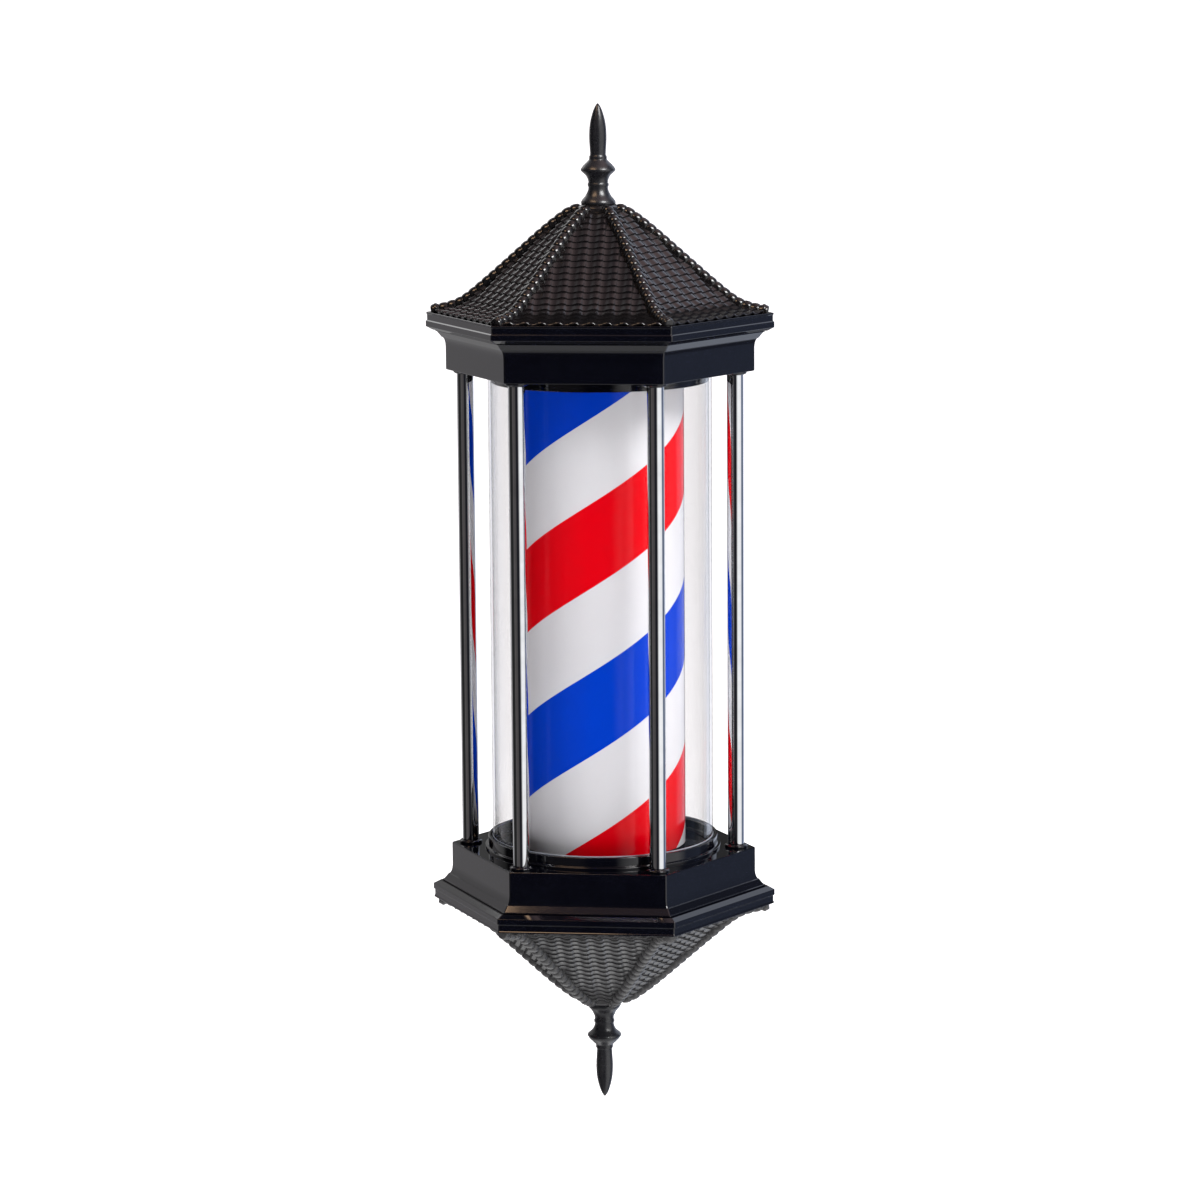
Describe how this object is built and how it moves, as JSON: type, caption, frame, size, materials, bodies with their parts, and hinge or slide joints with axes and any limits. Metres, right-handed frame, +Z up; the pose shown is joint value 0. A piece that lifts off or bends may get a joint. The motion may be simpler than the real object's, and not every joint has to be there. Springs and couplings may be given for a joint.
{
  "type": "barber pole light",
  "caption": "Wall-mounted barber pole light: a striped drum turns in a clear tube between two black hexagonal casings with tiled roofs, spire finials and chromed rods.",
  "frame": {"origin": "centre of the four wall holes, in the plane of the wall", "axes": "+Z up along the pole, +Y into the wall, +X to the viewer's right"},
  "size_m": [0.2506, 0.2245, 0.7244],
  "materials": {
    "black_plastic": "moulded gloss",
    "roof_plastic": "moulded satin gloss",
    "finial_black": "moulded satin",
    "chrome": "polished",
    "clear_acrylic": "clear polished",
    "striped_acrylic": "gloss, red, white and blue helical stripes",
    "white_plastic": "moulded",
    "porcelain_white": "glazed",
    "opal_glass": "opal",
    "black_rubber": "matt",
    "zinc_steel": "zinc plated",
    "bronze": "sintered",
    "black_steel": "powder coated",
    "switch_black": "moulded",
    "cable_sheath": "pvc sheath"
  },
  "bodies": {
    "pole": {"upper_casing": "black_plastic", "lower_casing": "black_plastic", "lower_tube_collar": "black_plastic", "upper_tube_ring": "black_plastic", "rod_flanges": "black_plastic", "upper_roof": "roof_plastic", "lower_roof": "roof_plastic", "top_finial": "finial_black", "bottom_finial": "finial_black", "rod_left": "chrome", "rod_front_left": "chrome", "rod_front_right": "chrome", "rod_right": "chrome", "outer_tube": "clear_acrylic", "bulb_body": "white_plastic", "terminal_block": "white_plastic", "lamp_holder": "porcelain_white", "bulb_globe": "opal_glass", "tube_gaskets": "black_rubber", "motor_pad": "black_rubber", "cable_grommet": "black_rubber", "upper_bridge": "zinc_steel", "lower_bridge": "zinc_steel", "finial_studs": "zinc_steel", "finial_nuts": "zinc_steel", "rod_nuts": "zinc_steel", "stem_screws": "zinc_steel", "motor_screws": "zinc_steel", "bracket_screws": "zinc_steel", "bracket_nuts": "zinc_steel", "bulb_cap": "zinc_steel", "geared_motor": "zinc_steel", "lamp_stem": "zinc_steel", "lower_bearing": "bronze", "upper_bracket": "black_steel", "lower_bracket": "black_steel", "light_switch": "switch_black", "motor_switch": "switch_black", "lamp_lead": "cable_sheath"},
    "drum": {"drum_shell": "striped_acrylic", "drum_bottom_cap": "white_plastic", "drum_top_cap": "white_plastic", "steady_bush": "white_plastic", "drum_hub": "white_plastic", "hub_screws": "zinc_steel", "motor_shaft": "zinc_steel"},
    "light_rocker_body": {"light_rocker": "switch_black"},
    "motor_rocker_body": {"motor_rocker": "switch_black"}
  },
  "joints": [
    {"name": "drum_spin", "type": "hinge", "parent": "pole", "child": "drum", "pos_m": [0, -0.116, 0], "axis": [0, 0, 1], "continuous": true},
    {"name": "light_rock", "type": "hinge", "parent": "pole", "child": "light_rocker_body", "pos_m": [0.07684, -0.05663, -0.182], "axis": [0, 0, 1], "range_deg": [-20, 0]},
    {"name": "motor_rock", "type": "hinge", "parent": "pole", "child": "motor_rocker_body", "pos_m": [0.08984, -0.07914, -0.182], "axis": [0, 0, 1], "range_deg": [-20, 0]}
  ]
}
